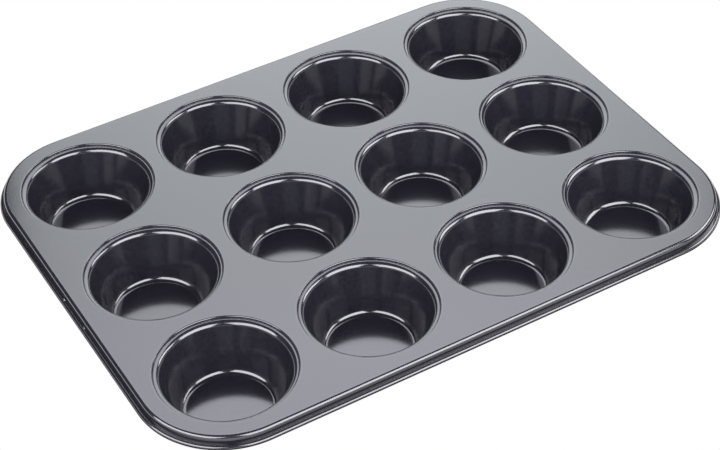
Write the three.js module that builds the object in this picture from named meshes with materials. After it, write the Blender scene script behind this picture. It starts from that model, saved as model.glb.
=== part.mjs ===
// A twelve-cup muffin tin, pressed from thin steel sheet: a flat deck, twelve tapered cups that
// hang from it, and a rim that curves down all round and is rolled over a stiffening wire.
// Millimetres, +Z up. The origin is on the surface that the cup bases stand on, under the middle.
import * as THREE from "three";

// Driving dimensions
const COLUMNS = 4;
const ROWS = 3;
const PITCH = 84; // between the centres of neighbouring cups, both ways
const SHEET = 0.5; // thickness of the steel
const SEAM_GAP = 0.3; // clearance between neighbouring sub-parts

const CUP_DEPTH = 30; // from the deck's top to the floor of a cup, inside
const CUP_FLOOR_RADIUS = 22.5; // where the flat floor ends
const CUP_FLOOR_FILLET = 4;
const CUP_MOUTH_RADIUS = 36.75; // where the rounded lip starts
const CUP_MOUTH_FILLET = 3.3;
const CUP_STEP_DEPTH = 1.4; // the ring round each mouth is pressed this far below the deck
const CUP_STEP_FOOT = 36.95; // radius at the bottom of the step
const CUP_STEP_TOP = 37.3; // radius at the top of the step
const CUP_REACH = 38.4; // outer edge of the cup's own piece of the deck's surface

// The rim's distances are measured outwards from the rectangle that joins the corner cups' centres,
// so that each corner of the tin is an arc about its corner cup.
const DECK_REACH = 44.8;
const RIM_CORNER_REACH = 46.95; // where the deck's plane and the leaning face below it would meet
const RIM_SHOULDER_RADIUS = 2; // rounds that corner off
const RIM_WALL_REACH = 47.75;
const RIM_WALL_DROP = 2.5; // from the deck's top to where the leaning face turns upright
const BEAD_REACH = 48.4; // centre of the rolled edge
const BEAD_DROP = 6.2; // below the deck's top
const BEAD_RADIUS = 1.4; // outside of the rolled edge
const BEAD_WRAP = 290; // degrees that the sheet goes round the wire
const WIRE_RADIUS = 0.8;

// Facets
const CUP_SEGMENTS = 24;
const CORNER_SEGMENTS = 10;
const FILLET_STEPS = 2;
const SHOULDER_STEPS = 3;
const BEAD_STEPS = 9;
const WIRE_SIDES = 8;

const DECK_TOP = CUP_DEPTH + SHEET;
const HALF_LENGTH = ((COLUMNS - 1) * PITCH) / 2;
const HALF_WIDTH = ((ROWS - 1) * PITCH) / 2;
const QUARTER_TURN = Math.PI / 2;

const coating = new THREE.MeshStandardMaterial({ color: 0x46464b, roughness: 0.35, metalness: 0.4 });
const bareSteel = new THREE.MeshStandardMaterial({ color: 0x9a9a9c, roughness: 0.4, metalness: 1 });

// Points along an arc of a section, with the angles in radians from the +X axis.
function arc(centreX, centreY, radius, start, end, steps) {
  const points = [];
  for (let i = 0; i <= steps; i++) {
    const angle = start + ((end - start) * i) / steps;
    points.push(
      new THREE.Vector2(centreX + radius * Math.cos(angle), centreY + radius * Math.sin(angle)),
    );
  }
  return points;
}

// The left-hand unit normal of the segment from a to b.
function normalOf(a, b) {
  const along = b.clone().sub(a).normalize();
  return new THREE.Vector2(-along.y, along.x);
}

// The line shifted by the distance to its left, with mitred corners.
function offsetLine(line, distance) {
  return line.map((point, i) => {
    const before = normalOf(line[Math.max(i - 1, 0)], line[Math.max(i, 1)]);
    const after = normalOf(line[Math.min(i, line.length - 2)], line[Math.min(i + 1, line.length - 1)]);
    const mitre = before.clone().add(after).divideScalar(1 + before.dot(after));
    return point.clone().addScaledVector(mitre, distance);
  });
}

// A closed section of sheet steel: the upper face's line, and the same line one thickness below it.
function sheetSection(upper) {
  return [...upper, ...offsetLine(upper, -SHEET).reverse()];
}

// The cup's upper face from the centre of the floor to its edge in the deck, as (radius, height).
function cupLine() {
  const floorCentreY = DECK_TOP - CUP_DEPTH + CUP_FLOOR_FILLET;
  const lipCentreY = DECK_TOP - CUP_STEP_DEPTH - CUP_MOUTH_FILLET;
  const across = CUP_MOUTH_RADIUS - CUP_FLOOR_RADIUS;
  const up = lipCentreY - floorCentreY;
  // The wall is the common tangent of the two fillets, leaning by this angle from the horizontal.
  const bothFillets = CUP_FLOOR_FILLET + CUP_MOUTH_FILLET;
  const wallAngle = Math.atan2(up, across) + Math.asin(bothFillets / Math.hypot(across, up));
  const floorEnd = wallAngle - QUARTER_TURN;
  const lipStart = wallAngle + QUARTER_TURN;
  return [
    new THREE.Vector2(0, DECK_TOP - CUP_DEPTH),
    ...arc(CUP_FLOOR_RADIUS, floorCentreY, CUP_FLOOR_FILLET, -QUARTER_TURN, floorEnd, FILLET_STEPS),
    ...arc(CUP_MOUTH_RADIUS, lipCentreY, CUP_MOUTH_FILLET, lipStart, QUARTER_TURN, FILLET_STEPS),
    new THREE.Vector2(CUP_STEP_FOOT, DECK_TOP - CUP_STEP_DEPTH),
    new THREE.Vector2(CUP_STEP_TOP, DECK_TOP),
    new THREE.Vector2(CUP_REACH, DECK_TOP),
  ];
}

function cupGeometry() {
  const section = sheetSection(cupLine());
  section[section.length - 1].x = 0;
  const geometry = new THREE.LatheGeometry(section.reverse(), CUP_SEGMENTS);
  return geometry.rotateX(QUARTER_TURN);
}

// The rim's upper face from the deck's edge outwards and round the wire, as (reach, height).
function rimLine() {
  const lean = Math.atan2(RIM_WALL_DROP, RIM_WALL_REACH - RIM_CORNER_REACH);
  const shoulderX = RIM_CORNER_REACH - RIM_SHOULDER_RADIUS * Math.tan(lean / 2);
  const shoulderY = DECK_TOP - RIM_SHOULDER_RADIUS;
  const shoulderEnd = QUARTER_TURN - lean;
  const beadY = DECK_TOP - BEAD_DROP;
  const wrapEnd = QUARTER_TURN - THREE.MathUtils.degToRad(BEAD_WRAP);
  return [
    new THREE.Vector2(DECK_REACH + SEAM_GAP, DECK_TOP),
    ...arc(shoulderX, shoulderY, RIM_SHOULDER_RADIUS, QUARTER_TURN, shoulderEnd, SHOULDER_STEPS),
    new THREE.Vector2(RIM_WALL_REACH, DECK_TOP - RIM_WALL_DROP),
    new THREE.Vector2(RIM_WALL_REACH, beadY + BEAD_RADIUS + SHEET),
    ...arc(BEAD_REACH, beadY, BEAD_RADIUS, QUARTER_TURN, wrapEnd, BEAD_STEPS),
  ];
}

// The wire's round section, clockwise from its top as every swept section runs.
function wireSection() {
  const beadY = DECK_TOP - BEAD_DROP;
  const fullTurn = 4 * QUARTER_TURN;
  return arc(BEAD_REACH, beadY, WIRE_RADIUS, QUARTER_TURN, QUARTER_TURN - fullTurn, WIRE_SIDES).slice(1);
}

// The plan of the tin at one reach, anticlockwise from the end of the right-hand side: four corner
// arcs, joined by straight sides.
function planPoints(reach, height) {
  const corners = [
    [HALF_LENGTH, HALF_WIDTH],
    [-HALF_LENGTH, HALF_WIDTH],
    [-HALF_LENGTH, -HALF_WIDTH],
    [HALF_LENGTH, -HALF_WIDTH],
  ];
  return corners.flatMap(([x, y], i) =>
    arc(x, y, reach, i * QUARTER_TURN, (i + 1) * QUARTER_TURN, CORNER_SEGMENTS).map(
      (p) => new THREE.Vector3(p.x, p.y, height),
    ),
  );
}

// A closed section swept once round the tin's rounded-rectangle plan.
function sweptRound(section) {
  const rings = section.map((p) => planPoints(p.x, p.y));
  const ringLength = rings[0].length;
  const index = [];
  for (let s = 0; s < rings.length; s++) {
    const next = (s + 1) % rings.length;
    for (let i = 0; i < ringLength; i++) {
      const j = (i + 1) % ringLength;
      const [a, b] = [s * ringLength + i, s * ringLength + j];
      const [c, d] = [next * ringLength + j, next * ringLength + i];
      index.push(a, c, b, a, d, c);
    }
  }
  return new THREE.BufferGeometry().setFromPoints(rings.flat()).setIndex(index);
}

function deckGeometry() {
  const outline = new THREE.Shape(
    planPoints(DECK_REACH, 0).map((p) => new THREE.Vector2(p.x, p.y)),
  );
  for (const [x, y] of cupCentres()) {
    const hole = arc(x, y, CUP_REACH + SEAM_GAP, 0, 2 * Math.PI, CUP_SEGMENTS);
    outline.holes.push(new THREE.Path(hole.slice(1)));
  }
  const geometry = new THREE.ExtrudeGeometry(outline, { depth: SHEET, bevelEnabled: false });
  return geometry.translate(0, 0, DECK_TOP - SHEET);
}

function cupCentres() {
  const centres = [];
  for (let row = 0; row < ROWS; row++) {
    for (let column = 0; column < COLUMNS; column++) {
      centres.push([column * PITCH - HALF_LENGTH, row * PITCH - HALF_WIDTH]);
    }
  }
  return centres;
}

function addMesh(group, name, geometry, material) {
  const mesh = new THREE.Mesh(geometry, material);
  mesh.name = name;
  group.add(mesh);
  return mesh;
}

const muffinTin = new THREE.Group();
addMesh(muffinTin, "deck_sheet", deckGeometry(), coating);
cupCentres().forEach(([x, y], i) => {
  const row = Math.floor(i / COLUMNS) + 1;
  const column = (i % COLUMNS) + 1;
  const cup = addMesh(muffinTin, `cup_row${row}_col${column}`, cupGeometry(), coating);
  cup.position.set(x, y, 0);
});
addMesh(muffinTin, "rolled_rim", sweptRound(sheetSection(rimLine())), coating);
addMesh(muffinTin, "rim_wire", sweptRound(wireSection()), bareSteel);

export default muffinTin;
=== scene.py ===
# A twelve-cup muffin tin of thin pressed steel with a dark non-stick coating, in a white studio.
# Everything is in metres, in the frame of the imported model.
from math import asin, atan2, ceil, copysign, cos, hypot, pi, radians, sin, tan

import bmesh
import bpy
from mathutils import Matrix, Vector


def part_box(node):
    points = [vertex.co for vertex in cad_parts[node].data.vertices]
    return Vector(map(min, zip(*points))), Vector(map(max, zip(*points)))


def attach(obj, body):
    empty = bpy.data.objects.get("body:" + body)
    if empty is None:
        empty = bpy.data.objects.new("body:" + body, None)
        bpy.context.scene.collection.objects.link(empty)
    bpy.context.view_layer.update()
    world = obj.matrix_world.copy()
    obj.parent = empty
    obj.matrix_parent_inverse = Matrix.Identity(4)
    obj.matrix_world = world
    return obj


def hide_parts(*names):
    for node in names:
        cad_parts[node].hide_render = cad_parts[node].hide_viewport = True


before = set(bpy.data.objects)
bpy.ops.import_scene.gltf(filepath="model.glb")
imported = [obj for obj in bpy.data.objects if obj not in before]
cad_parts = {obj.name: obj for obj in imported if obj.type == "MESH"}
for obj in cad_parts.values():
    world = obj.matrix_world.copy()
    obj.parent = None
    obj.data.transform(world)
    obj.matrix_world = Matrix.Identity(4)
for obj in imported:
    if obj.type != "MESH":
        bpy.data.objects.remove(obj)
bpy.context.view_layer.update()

# ---- Sizes -------------------------------------------------------------------------------------

MM = 0.001
SHEET = 0.5 * MM  # thickness of the steel
SEAM_GAP = 0.3 * MM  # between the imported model's solids

CUP_FLOOR_RADIUS = 22.5 * MM  # where the flat floor ends
CUP_FLOOR_FILLET = 4 * MM
CUP_MOUTH_RADIUS = 36.75 * MM  # where the rounded lip starts
CUP_MOUTH_FILLET = 3.3 * MM
CUP_STEP_DEPTH = 1.4 * MM
CUP_STEP_FOOT = 36.95 * MM
CUP_STEP_TOP = 37.3 * MM
CUP_STEP_FOOT_BEND = 0.15 * MM
CUP_STEP_TOP_BEND = 0.8 * MM

RIM_CORNER_REACH = 46.95 * MM  # the rim's reaches are measured from the corner cups' centres
RIM_SHOULDER_BEND = 2 * MM
RIM_WALL_REACH = 47.75 * MM
RIM_WALL_DROP = 2.5 * MM  # from the deck's top to where the wall turns upright
RIM_WALL_TOP_BEND = 1 * MM
RIM_WALL_FOOT_BEND = 0.05 * MM
BEAD_RADIUS = 1.4 * MM  # outside of the rolled edge
BEAD_WRAP = radians(290)  # how far the sheet goes round the wire

# Fineness of the meshes
OCTANT = 16  # segments in an eighth of a turn, round every cup and corner
BEND_STEP = radians(6)  # turn between neighbouring points of a bend
SUPPORT = 0.12 * MM  # distance from a bend to the extra point that keeps the straight part flat
WIRE_SIDES = 16
SHARP_ANGLE = radians(40)  # a corner that turns more than this isn't shaded smooth
SAME_POINT = 1e-7  # points nearer than this are one


def middle_of(node):
    low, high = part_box(node)
    return (low + high) / 2


CUP_NODES = sorted(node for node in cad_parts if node.startswith("cup_"))
CUP_CENTRES = {node: middle_of(node) for node in CUP_NODES}
HALF_LENGTH = max(centre.x for centre in CUP_CENTRES.values())
HALF_WIDTH = max(centre.y for centre in CUP_CENTRES.values())
PITCH = CUP_CENTRES["cup_row1_col2"].x - CUP_CENTRES["cup_row1_col1"].x

DECK_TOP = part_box("deck_sheet")[1].z
CUP_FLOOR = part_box("cup_row1_col1")[0].z + SHEET
CUP_RING = DECK_TOP - CUP_STEP_DEPTH
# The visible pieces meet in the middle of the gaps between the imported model's solids.
CUP_EDGE = (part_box("cup_row1_col1")[1] - CUP_CENTRES["cup_row1_col1"]).x + SEAM_GAP / 2
DECK_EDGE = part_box("deck_sheet")[1].x - HALF_LENGTH + SEAM_GAP / 2
BEAD_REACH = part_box("rolled_rim")[1].x - HALF_LENGTH - BEAD_RADIUS
WIRE_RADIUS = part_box("rim_wire")[1].x - HALF_LENGTH - BEAD_REACH
BEAD_HEIGHT = middle_of("rim_wire").z

# Two small chips in the coating, on the wall of the rim's left side
CHIP_RADIUS = 0.6 * MM
CHIP_DROP = 4.2 * MM  # below the deck's top
CHIPS_ALONG = (-15.5 * MM, 10 * MM)  # from the middle of the side
CHIP_PLACES = [(-HALF_LENGTH - RIM_WALL_REACH, y, DECK_TOP - CHIP_DROP) for y in CHIPS_ALONG]


# ---- Sections through the sheet ----------------------------------------------------------------
# A section is a line of corners (distance outwards, height, radius of the bend there), drawn
# outwards along the sheet's upper face.


def direction(start, end):
    return (Vector(end[:2]) - Vector(start[:2])).normalized()


def bend(before, corner, after):
    """The points of the arc that rounds a corner off, with one more on each side of it."""
    coming, going = direction(before, corner), direction(corner, after)
    turn = atan2(coming.x * going.y - coming.y * going.x, coming.dot(going))
    radius = corner[2]
    tangent = radius * tan(abs(turn) / 2)
    start = Vector(corner[:2]) - coming * tangent
    left = Vector((-coming.y, coming.x))
    centre = start + left * copysign(radius, turn)
    steps = max(2, ceil(abs(turn) / BEND_STEP))
    arm = start - centre
    points = []
    for step in range(steps + 1):
        angle = turn * step / steps
        turned = (arm.x * cos(angle) - arm.y * sin(angle), arm.x * sin(angle) + arm.y * cos(angle))
        points.append(centre + Vector(turned))
    return [points[0] - coming * SUPPORT, *points, points[-1] + going * SUPPORT]


def face_line(corners):
    """The line through the corners with each one rounded off."""
    points = [Vector(corners[0][:2])]
    for before, corner, after in zip(corners, corners[1:], corners[2:]):
        points += bend(before, corner, after)
    points.append(Vector(corners[-1][:2]))
    return points


def lower_corners(corners):
    """The corners of the sheet's lower face, one thickness to the right of the upper face's."""
    result = []
    for i, corner in enumerate(corners):
        coming = direction(corners[max(i - 1, 0)], corners[max(i, 1)])
        going = direction(corners[min(i, len(corners) - 2)], corners[min(i + 1, len(corners) - 1)])
        normals = Vector((coming.y, -coming.x)) + Vector((going.y, -going.x))
        mitre = normals / (1 + coming.dot(going))
        turn = coming.x * going.y - coming.y * going.x
        radius = max(corner[2] + copysign(SHEET, turn), SHEET / 5)
        place = Vector(corner[:2]) + mitre * SHEET
        result.append((place.x, place.y, radius))
    return result


def cup_section():
    """From the middle of the cup's floor out to its edge in the deck, and back underneath."""
    across = CUP_MOUTH_RADIUS - CUP_FLOOR_RADIUS
    up = (CUP_RING - CUP_MOUTH_FILLET) - (CUP_FLOOR + CUP_FLOOR_FILLET)
    both_fillets = CUP_FLOOR_FILLET + CUP_MOUTH_FILLET
    wall_angle = atan2(up, across) + asin(both_fillets / hypot(across, up))
    floor_corner = CUP_FLOOR_RADIUS + CUP_FLOOR_FILLET * tan(wall_angle / 2)
    mouth_corner = CUP_MOUTH_RADIUS - CUP_MOUTH_FILLET * tan(wall_angle / 2)
    corners = [
        (0, CUP_FLOOR, 0),
        (floor_corner, CUP_FLOOR, CUP_FLOOR_FILLET),
        (mouth_corner, CUP_RING, CUP_MOUTH_FILLET),
        (CUP_STEP_FOOT, CUP_RING, CUP_STEP_FOOT_BEND),
        (CUP_STEP_TOP, DECK_TOP, CUP_STEP_TOP_BEND),
        (CUP_EDGE, DECK_TOP, 0),
    ]
    return face_line(corners) + face_line(lower_corners(corners))[::-1]


def roll(radius):
    """The sheet's face where it goes round the wire, from the top of the bead outwards and under."""
    steps = ceil(BEAD_WRAP / BEND_STEP)
    angles = [pi / 2 - BEAD_WRAP * step / steps for step in range(steps + 1)]
    return [Vector((BEAD_REACH + radius * cos(a), BEAD_HEIGHT + radius * sin(a))) for a in angles]


def rim_section():
    """From the deck's edge over the shoulder, down the rim's wall and round the wire, and back."""
    bead_top = BEAD_HEIGHT + BEAD_RADIUS
    corners = [
        (DECK_EDGE, DECK_TOP, 0),
        (RIM_CORNER_REACH, DECK_TOP, RIM_SHOULDER_BEND),
        (RIM_WALL_REACH, DECK_TOP - RIM_WALL_DROP, RIM_WALL_TOP_BEND),
        (RIM_WALL_REACH, bead_top, RIM_WALL_FOOT_BEND),
        (BEAD_REACH, bead_top, 0),
    ]
    upper = face_line(corners)[:-1] + roll(BEAD_RADIUS)
    lower = face_line(lower_corners(corners))[:-1] + roll(BEAD_RADIUS - SHEET)
    return upper + lower[::-1]


# ---- Meshes ------------------------------------------------------------------------------------


def finish_piece(name, shape, material, node):
    """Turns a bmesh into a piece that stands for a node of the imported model."""
    bmesh.ops.remove_doubles(shape, verts=shape.verts, dist=SAME_POINT)
    bmesh.ops.recalc_face_normals(shape, faces=shape.faces)
    mesh = bpy.data.meshes.new(name)
    shape.to_mesh(mesh)
    shape.free()
    mesh.shade_smooth()
    mesh.set_sharp_from_angle(angle=SHARP_ANGLE)
    mesh.materials.append(material)
    piece = bpy.data.objects.new(name, mesh)
    bpy.context.scene.collection.objects.link(piece)
    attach(piece, "root")
    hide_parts(node)
    return piece


def join_rings(shape, rings, closed):
    """Faces between neighbouring rings of points; the last ring meets the first if closed."""
    made = [[shape.verts.new(point) for point in ring] for ring in rings]
    pairs = list(zip(made, made[1:]))
    if closed:
        pairs.append((made[-1], made[0]))
    for inner, outer in pairs:
        for i in range(len(inner)):
            j = (i + 1) % len(inner)
            shape.faces.new((inner[i], outer[i], outer[j], inner[j]))
    return made


def turns():
    """The directions of the rays that divide every cup."""
    return [2 * pi * i / (8 * OCTANT) for i in range(8 * OCTANT)]


def make_cup(node, material):
    centre = CUP_CENTRES[node]
    section = cup_section()
    rings = [
        [Vector((centre.x + p.x * cos(a), centre.y + p.x * sin(a), p.y)) for a in turns()]
        for p in section[1:-1]
    ]
    shape = bmesh.new()
    made = join_rings(shape, rings, closed=False)
    for ring, pole in ((made[0], section[0]), (made[-1], section[-1])):
        tip = shape.verts.new((centre.x, centre.y, pole.y))
        for i in range(len(ring)):
            shape.faces.new((tip, ring[i], ring[(i + 1) % len(ring)]))
    return finish_piece(node + "_shell", shape, material, node)


def cell_edge(centre, angle):
    """Where the ray at that angle from a cup's centre leaves the cup's cell of the deck."""
    x, y = cos(angle), sin(angle)
    outer_x = abs(centre.x + copysign(PITCH / 2, x)) > HALF_LENGTH
    outer_y = abs(centre.y + copysign(PITCH / 2, y)) > HALF_WIDTH
    if outer_x and outer_y:
        return Vector((centre.x + DECK_EDGE * x, centre.y + DECK_EDGE * y, DECK_TOP))
    longest = max(abs(x), abs(y))
    reach_x = DECK_EDGE if outer_x else PITCH / 2
    reach_y = DECK_EDGE if outer_y else PITCH / 2
    return Vector((centre.x + reach_x * x / longest, centre.y + reach_y * y / longest, DECK_TOP))


def make_deck(material):
    """The flat of the sheet between the cups, one cell round each cup."""
    shape = bmesh.new()
    for centre in CUP_CENTRES.values():
        hole = [
            Vector((centre.x + CUP_EDGE * cos(a), centre.y + CUP_EDGE * sin(a), DECK_TOP))
            for a in turns()
        ]
        join_rings(shape, [hole, [cell_edge(centre, a) for a in turns()]], closed=False)
    bmesh.ops.remove_doubles(shape, verts=shape.verts, dist=SAME_POINT)
    lower = bmesh.ops.extrude_face_region(shape, geom=list(shape.faces), use_keep_orig=True)
    lower_points = [item for item in lower["geom"] if isinstance(item, bmesh.types.BMVert)]
    bmesh.ops.translate(shape, verts=lower_points, vec=(0, 0, -SHEET))
    return finish_piece("deck_plate", shape, material, "deck_sheet")


def stations():
    """The places round the tin where the rim's section stands, as (foot, outward direction).
    Along a side they are spaced as the deck's own edge points are."""
    half = [PITCH / 2 * tan(pi / 4 * step / OCTANT) for step in range(OCTANT + 1)]
    spread = half + [PITCH - s for s in reversed(half[1:-1])]
    places = []
    for quarter, (x, y) in enumerate([(1, -1), (1, 1), (-1, 1), (-1, -1)]):
        corner = Vector((x * HALF_LENGTH, y * HALF_WIDTH))
        start = (quarter - 1) * pi / 2
        for step in range(2 * OCTANT):
            angle = start + pi / 2 * step / (2 * OCTANT)
            places.append((corner, Vector((cos(angle), sin(angle)))))
        outward = Vector((cos(start + pi / 2), sin(start + pi / 2)))
        along = Vector((-outward.y, outward.x))
        side = 2 * (HALF_WIDTH if quarter % 2 == 0 else HALF_LENGTH)
        for pitch in range(round(side / PITCH)):
            places += [(corner + along * (pitch * PITCH + s), outward) for s in spread]
    return places


def swept(section):
    """A closed section carried once round the tin."""
    shape = bmesh.new()
    places = stations()
    rings = [
        [Vector((*(foot + outward * p.x), p.y)) for foot, outward in places] for p in section
    ]
    join_rings(shape, rings, closed=True)
    return shape


def make_rim(material):
    return finish_piece("rim_roll", swept(rim_section()), material, "rolled_rim")


def make_wire(material):
    angles = [2 * pi * side / WIRE_SIDES for side in range(WIRE_SIDES)]
    section = [
        Vector((BEAD_REACH + WIRE_RADIUS * cos(a), BEAD_HEIGHT + WIRE_RADIUS * sin(a)))
        for a in angles
    ]
    return finish_piece("bead_wire", swept(section), material, "rim_wire")


# ---- Materials ---------------------------------------------------------------------------------

COATING_IOR = 1.5
FILM_DARK, FILM_LIGHT = (0.0042, 0.0040, 0.0060), (0.0070, 0.0067, 0.0092)
FILM_GLOSS = (0.12, 0.14)  # roughness, which changes slowly from place to place
CLOUD_SIZE = 18 * MM  # of the patches with the same gloss
GRAIN_SIZE, GRAIN_HEIGHT = 2.2 * MM, 0.006 * MM
CHIP_STEEL = (0.6, 0.6, 0.61)
CHIP_ROUGHNESS = 0.3  # added to the film's
CHIP_NOTCH = 0.8 * MM  # size of the notches in a chip's edge
CHIP_EDGE = (0.8 * CHIP_RADIUS, 1.2 * CHIP_RADIUS)  # where the film begins and where it is whole

WIRE_DARK, WIRE_LIGHT = (0.42, 0.42, 0.43), (0.58, 0.58, 0.59)
WIRE_GLOSS = (0.3, 0.45)
DRAW_MARK_SIZE, DRAW_MARK_HEIGHT = 0.3 * MM, 0.01 * MM


class Shader:
    """A short way to write a material's nodes."""

    def __init__(self, name):
        self.material = bpy.data.materials.new(name)
        self.material.use_nodes = True
        self.tree = self.material.node_tree
        self.surface = self.tree.nodes["Principled BSDF"]

    def node(self, kind, **settings):
        made = self.tree.nodes.new("ShaderNode" + kind)
        for key, value in settings.items():
            setattr(made, key, value)
        return made

    def link(self, output, socket):
        self.tree.links.new(output, socket)

    def place(self):
        return self.node("TexCoord").outputs["Object"]

    def noise(self, size, detail, roughness=0.5):
        """Noise whose features are about that size, in metres."""
        made = self.node("TexNoise")
        made.inputs["Scale"].default_value = 1 / size
        made.inputs["Detail"].default_value = detail
        made.inputs["Roughness"].default_value = roughness
        self.link(self.place(), made.inputs["Vector"])
        return made.outputs["Fac"]

    def spread(self, value, low, high, start=0.3, end=0.7):
        """The value taken from the range start to end, where most of a noise's values lie, into
        the range low to high."""
        made = self.node("MapRange")
        numbers = {"From Min": start, "From Max": end, "To Min": low, "To Max": high}
        for name, number in numbers.items():
            made.inputs[name].default_value = number
        self.link(value, made.inputs["Value"])
        return made.outputs["Result"]

    def put(self, value, socket):
        """Gives the socket a number or colour, or links it to an output."""
        if isinstance(value, bpy.types.NodeSocket):
            self.link(value, socket)
        elif isinstance(value, tuple):
            socket.default_value = (*value, 1)
        else:
            socket.default_value = value

    def sum_or_product(self, operation, first, second):
        made = self.node("Math", operation=operation)
        self.put(first, made.inputs[0])
        self.put(second, made.inputs[1])
        return made.outputs[0]

    def add(self, first, second):
        return self.sum_or_product("ADD", first, second)

    def times(self, first, second):
        return self.sum_or_product("MULTIPLY", first, second)

    def mix(self, factor, first, second):
        """A colour between two others."""
        made = self.node("Mix", data_type="RGBA")
        self.put(factor, made.inputs["Factor"])
        self.put(first, made.inputs["A"])
        self.put(second, made.inputs["B"])
        return made.outputs["Result"]

    def bump(self, height, distance):
        made = self.node("Bump")
        made.inputs["Distance"].default_value = distance
        made.inputs["Strength"].default_value = 1
        self.link(height, made.inputs["Height"])
        return made.outputs["Normal"]


def chip_mask(coating):
    """One inside the small chips in the rim's wall, and nought elsewhere."""
    notches = coating.noise(CHIP_NOTCH, detail=3)
    ragged = coating.spread(notches, -CHIP_RADIUS / 2, CHIP_RADIUS / 2)
    mask = 0.0
    for place in CHIP_PLACES:
        away = coating.node("VectorMath", operation="DISTANCE")
        coating.link(coating.place(), away.inputs[0])
        away.inputs[1].default_value = place
        edge = coating.add(away.outputs["Value"], ragged)
        mask = coating.add(mask, coating.spread(edge, 1, 0, *CHIP_EDGE))
    return mask


def coating_material():
    """Dark non-stick coating, baked on in a thin satin film with a fine grain."""
    coating = Shader("nonstick_coating")
    surface = coating.surface
    surface.inputs["IOR"].default_value = COATING_IOR
    cloud = coating.noise(CLOUD_SIZE, detail=3)
    grain = coating.noise(GRAIN_SIZE, detail=4, roughness=0.6)
    film = coating.mix(coating.spread(grain, 0, 1), FILM_DARK, FILM_LIGHT)
    chipped = chip_mask(coating)
    coating.link(coating.mix(chipped, film, CHIP_STEEL), surface.inputs["Base Color"])
    coating.link(chipped, surface.inputs["Metallic"])
    rougher = coating.times(chipped, CHIP_ROUGHNESS)
    gloss = coating.spread(cloud, *FILM_GLOSS)
    coating.link(coating.add(gloss, rougher), surface.inputs["Roughness"])
    coating.link(coating.bump(grain, GRAIN_HEIGHT), surface.inputs["Normal"])
    return coating.material


def wire_material():
    """Bare drawn steel wire."""
    wire = Shader("drawn_steel_wire")
    surface = wire.surface
    surface.inputs["Metallic"].default_value = 1
    marks = wire.noise(DRAW_MARK_SIZE, detail=3)
    steel = wire.mix(wire.spread(marks, 0, 1), WIRE_DARK, WIRE_LIGHT)
    wire.link(steel, surface.inputs["Base Color"])
    wire.link(wire.spread(marks, *WIRE_GLOSS), surface.inputs["Roughness"])
    wire.link(wire.bump(marks, DRAW_MARK_HEIGHT), surface.inputs["Normal"])
    return wire.material


# ---- Studio ------------------------------------------------------------------------------------

SENSOR_WIDTH, LENS = 36, 95.17  # in millimetres
CAMERA_AIM = (-13.7 * MM, -26.7 * MM)  # the point of the deck that the camera looks at
CAMERA_AZIMUTH, CAMERA_ELEVATION = 240.87, 41.42  # degrees, seen from that point
CAMERA_DISTANCE = 1.0378
CAMERA_ROLL = radians(-2.09)

LAMP_COLOUR = (0.985, 0.985, 1.03)
LAMP_ENERGY = 4  # energy of a rectangular lamp for each unit of radiance and square metre

# The side softboxes: name, azimuth and elevation from the middle of the deck in degrees,
# distance, width, height and radiance
SIDE_SOFTBOXES = [
    ("softbox_left", 195.6, 33, 0.88, 0.96, 0.53, 12),
    ("softbox_front", 279, 33, 0.84, 0.77, 0.62, 13),
    ("softbox_right", 345, 35, 0.85, 0.59, 0.31, 12),
]

# The back softbox, whose reflection makes the deck grey
BACK_PLACE, BACK_AIM = (0.244, 0.410, 0.518), (0.044, 0.020, 0)
BACK_SIZE = 0.66
BACK_GLOW = 4.6
BACK_DIMMING = 0.85  # lost towards its sides, times the squared distance in parts of its width
BACK_LOWER_COLOUR, BACK_UPPER_COLOUR = (0.955, 1, 1.055, 1), (1.11, 1.105, 1.25, 1)
BACK_COLOUR_CHANGE = (0.42, 0.68)  # where the one passes into the other, as parts of its height

# The low ring of lamps that lights the deck alone
RING_LAMPS = 8
RING_START = 15  # azimuth of the first lamp
RING_DISTANCE = 0.9
RING_RISE = 0.28  # above the deck
RING_HEIGHT = 0.4
RING_GLOW = 1.5

# The room, by the height of a direction: 1 is straight up, 0 level and -1 straight down
ROOM_GLOW = 0.05  # radiance of the dim room all round
BACKDROP_GLOW = 3.5  # of the bright backdrop round the horizon
BACKDROP_TOP = (0.05, 0.21)  # where the backdrop fades away upwards
BACKDROP_FOOT = (-0.31, -0.15)  # and downwards
TABLE_GLOW = 0.8  # of the table, straight below
TABLE_EDGE = (-0.95, -0.8)

FLOOR_REACH = 6
FLOOR_DROP = 0.2 * MM  # keeps it clear of the cups' bases


def bearing(azimuth, elevation):
    """A unit vector: azimuth in degrees anticlockwise from +X, elevation above the horizon."""
    a, e = radians(azimuth), radians(elevation)
    return Vector((cos(a) * cos(e), sin(a) * cos(e), sin(e)))


def make_camera():
    data = bpy.data.cameras.new("camera")
    data.sensor_width = SENSOR_WIDTH
    data.lens = LENS
    camera = bpy.data.objects.new("camera", data)
    bpy.context.scene.collection.objects.link(camera)
    aim = Vector((*CAMERA_AIM, DECK_TOP))
    back = bearing(CAMERA_AZIMUTH, CAMERA_ELEVATION)
    camera.rotation_mode = "QUATERNION"
    facing = (-back).to_track_quat("-Z", "Y")
    roll_about_view = Matrix.Rotation(CAMERA_ROLL, 3, "Z").to_quaternion()
    camera.rotation_quaternion = facing @ roll_about_view
    camera.location = aim + back * CAMERA_DISTANCE
    bpy.context.scene.camera = camera


def softbox(name, place, aim, width, height, radiance):
    """A rectangular lamp that faces the point aim, upright."""
    data = bpy.data.lights.new(name, "AREA")
    data.shape = "RECTANGLE"
    data.size = width
    data.size_y = height
    data.energy = radiance * LAMP_ENERGY * width * height
    data.color = LAMP_COLOUR
    lamp = bpy.data.objects.new(name, data)
    bpy.context.scene.collection.objects.link(lamp)
    lamp.location = place
    lamp.rotation_mode = "QUATERNION"
    lamp.rotation_quaternion = (Vector(aim) - Vector(place)).to_track_quat("-Z", "Y")
    lamp.visible_camera = False
    return lamp


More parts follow.
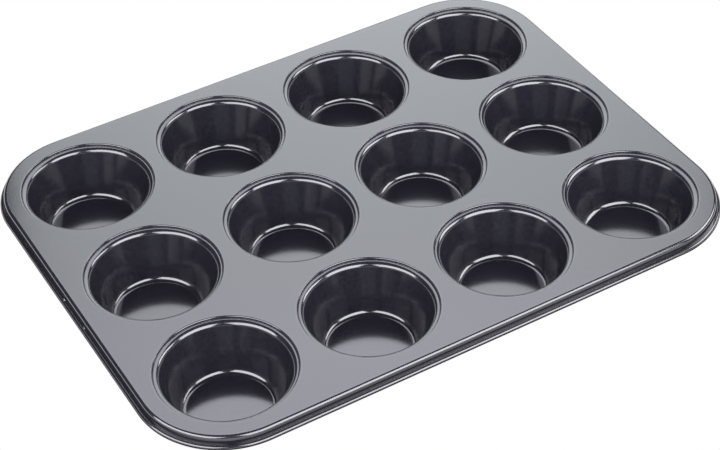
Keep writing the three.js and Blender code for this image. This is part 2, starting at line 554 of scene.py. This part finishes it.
def fade(nodes, links, value, start, end, at_start, at_end):
    """The value's passage from start to end, as a smooth passage from at_start to at_end."""
    made = nodes.new("ShaderNodeMapRange")
    made.interpolation_type = "SMOOTHSTEP"
    numbers = {"From Min": start, "From Max": end, "To Min": at_start, "To Max": at_end}
    for name, number in numbers.items():
        made.inputs[name].default_value = number
    links.new(value, made.inputs["Value"])
    return made.outputs["Result"]


def product(nodes, links, first, second):
    made = nodes.new("ShaderNodeMath")
    made.operation = "MULTIPLY"
    links.new(first, made.inputs[0])
    links.new(second, made.inputs[1])
    return made.outputs[0]


def shade_softbox(lamp):
    """Dims the lamp towards its two sides and makes its upper part a little more violet."""
    lamp.data.color = (1, 1, 1)
    lamp.data.use_nodes = True
    nodes, links = lamp.data.node_tree.nodes, lamp.data.node_tree.links
    where = nodes.new("ShaderNodeSeparateXYZ")
    links.new(nodes.new("ShaderNodeNewGeometry").outputs["Parametric"], where.inputs[0])
    from_middle = nodes.new("ShaderNodeMath")
    from_middle.operation = "SUBTRACT"
    from_middle.inputs[1].default_value = 0.5
    links.new(where.outputs["X"], from_middle.inputs[0])
    squared = product(nodes, links, from_middle.outputs[0], from_middle.outputs[0])
    dimming = nodes.new("ShaderNodeMath")
    dimming.operation = "MULTIPLY_ADD"
    dimming.inputs[1].default_value = -BACK_DIMMING
    dimming.inputs[2].default_value = 1
    links.new(squared, dimming.inputs[0])
    tint = nodes.new("ShaderNodeMix")
    tint.data_type = "RGBA"
    upwards = fade(nodes, links, where.outputs["Y"], *BACK_COLOUR_CHANGE, 0, 1)
    links.new(upwards, tint.inputs["Factor"])
    tint.inputs["A"].default_value = BACK_LOWER_COLOUR
    tint.inputs["B"].default_value = BACK_UPPER_COLOUR
    links.new(tint.outputs["Result"], nodes["Emission"].inputs["Color"])
    links.new(dimming.outputs[0], nodes["Emission"].inputs["Strength"])


def light_link(name, lamps, piece, state):
    """Makes the lamps light only the piece (INCLUDE), or everything but it (EXCLUDE)."""
    receivers = bpy.data.collections.new(name)
    receivers.objects.link(piece)
    receivers.collection_objects[0].light_linking.link_state = state
    for lamp in lamps:
        lamp.light_linking.receiver_collection = receivers


def make_lights(deck):
    """Four softboxes. Seen low from behind, the flat deck would mirror three of them as a white
    glare, so those leave it out, and a low ring of dimmer lamps lights it alone."""
    middle = Vector((0, 0, DECK_TOP))
    back = softbox("softbox_back", BACK_PLACE, BACK_AIM, BACK_SIZE, BACK_SIZE, BACK_GLOW)
    shade_softbox(back)
    sides = []
    for name, azimuth, elevation, distance, width, height, radiance in SIDE_SOFTBOXES:
        place = middle + bearing(azimuth, elevation) * distance
        sides.append(softbox(name, place, middle, width, height, radiance))
    light_link("all_but_the_deck", sides, deck, "EXCLUDE")
    axis = middle + Vector((0, 0, RING_RISE))
    width = 2 * RING_DISTANCE * tan(pi / RING_LAMPS)
    ring = []
    for number in range(RING_LAMPS):
        outwards = bearing(360 / RING_LAMPS * number + RING_START, 0)
        place = axis + outwards * RING_DISTANCE
        ring.append(softbox(f"ring_lamp_{number}", place, axis, width, RING_HEIGHT, RING_GLOW))
    light_link("the_deck_alone", ring, deck, "INCLUDE")


def make_world():
    """White behind the tin; for its reflections, a dim room with a bright backdrop."""
    world = bpy.data.worlds.new("studio")
    world.use_nodes = True
    nodes, links = world.node_tree.nodes, world.node_tree.links
    room = nodes["Background"]
    height = nodes.new("ShaderNodeSeparateXYZ")
    links.new(nodes.new("ShaderNodeTexCoord").outputs["Generated"], height.inputs[0])
    rise = height.outputs["Z"]
    above = fade(nodes, links, rise, *BACKDROP_TOP, 1, 0)
    below = fade(nodes, links, rise, *BACKDROP_FOOT, 0, 1)
    backdrop = product(nodes, links, above, below)
    table = fade(nodes, links, rise, *TABLE_EDGE, TABLE_GLOW, ROOM_GLOW)
    glow = nodes.new("ShaderNodeMath")
    glow.operation = "MULTIPLY_ADD"
    glow.inputs[1].default_value = BACKDROP_GLOW
    links.new(backdrop, glow.inputs[0])
    links.new(table, glow.inputs[2])
    links.new(glow.outputs[0], room.inputs["Strength"])
    room.inputs["Color"].default_value = (1, 1, 1, 1)
    white = nodes.new("ShaderNodeBackground")
    white.inputs["Color"].default_value = (1, 1, 1, 1)
    path = nodes.new("ShaderNodeLightPath")
    mix = nodes.new("ShaderNodeMixShader")
    links.new(path.outputs["Is Camera Ray"], mix.inputs[0])
    links.new(room.outputs[0], mix.inputs[1])
    links.new(white.outputs[0], mix.inputs[2])
    links.new(mix.outputs[0], nodes["World Output"].inputs["Surface"])
    bpy.context.scene.world = world


def make_floor():
    """A white floor that the tin's gloss doesn't mirror, seen from above only."""
    shape = bmesh.new()
    signs = [(-1, -1), (1, -1), (1, 1), (-1, 1)]
    corners = [(x * FLOOR_REACH, y * FLOOR_REACH, -FLOOR_DROP) for x, y in signs]
    shape.faces.new([shape.verts.new(corner) for corner in corners])
    mesh = bpy.data.meshes.new("floor")
    shape.to_mesh(mesh)
    shape.free()
    material = bpy.data.materials.new("white_floor")
    material.use_nodes = True
    nodes, links = material.node_tree.nodes, material.node_tree.links
    nodes.remove(nodes["Principled BSDF"])
    white = nodes.new("ShaderNodeEmission")
    clear = nodes.new("ShaderNodeBsdfTransparent")
    side = nodes.new("ShaderNodeNewGeometry")
    mix = nodes.new("ShaderNodeMixShader")
    links.new(side.outputs["Backfacing"], mix.inputs[0])
    links.new(white.outputs[0], mix.inputs[1])
    links.new(clear.outputs[0], mix.inputs[2])
    links.new(mix.outputs[0], nodes["Material Output"].inputs["Surface"])
    mesh.materials.append(material)
    floor = bpy.data.objects.new("floor", mesh)
    bpy.context.scene.collection.objects.link(floor)
    floor.visible_glossy = False
    floor.visible_diffuse = False


# ---- Scene -------------------------------------------------------------------------------------

bpy.context.scene.view_settings.view_transform = "Standard"
make_camera()
make_world()
make_floor()

coating = coating_material()
make_lights(make_deck(coating))
for cup_node in CUP_NODES:
    make_cup(cup_node, coating)
make_rim(coating)
make_wire(wire_material())
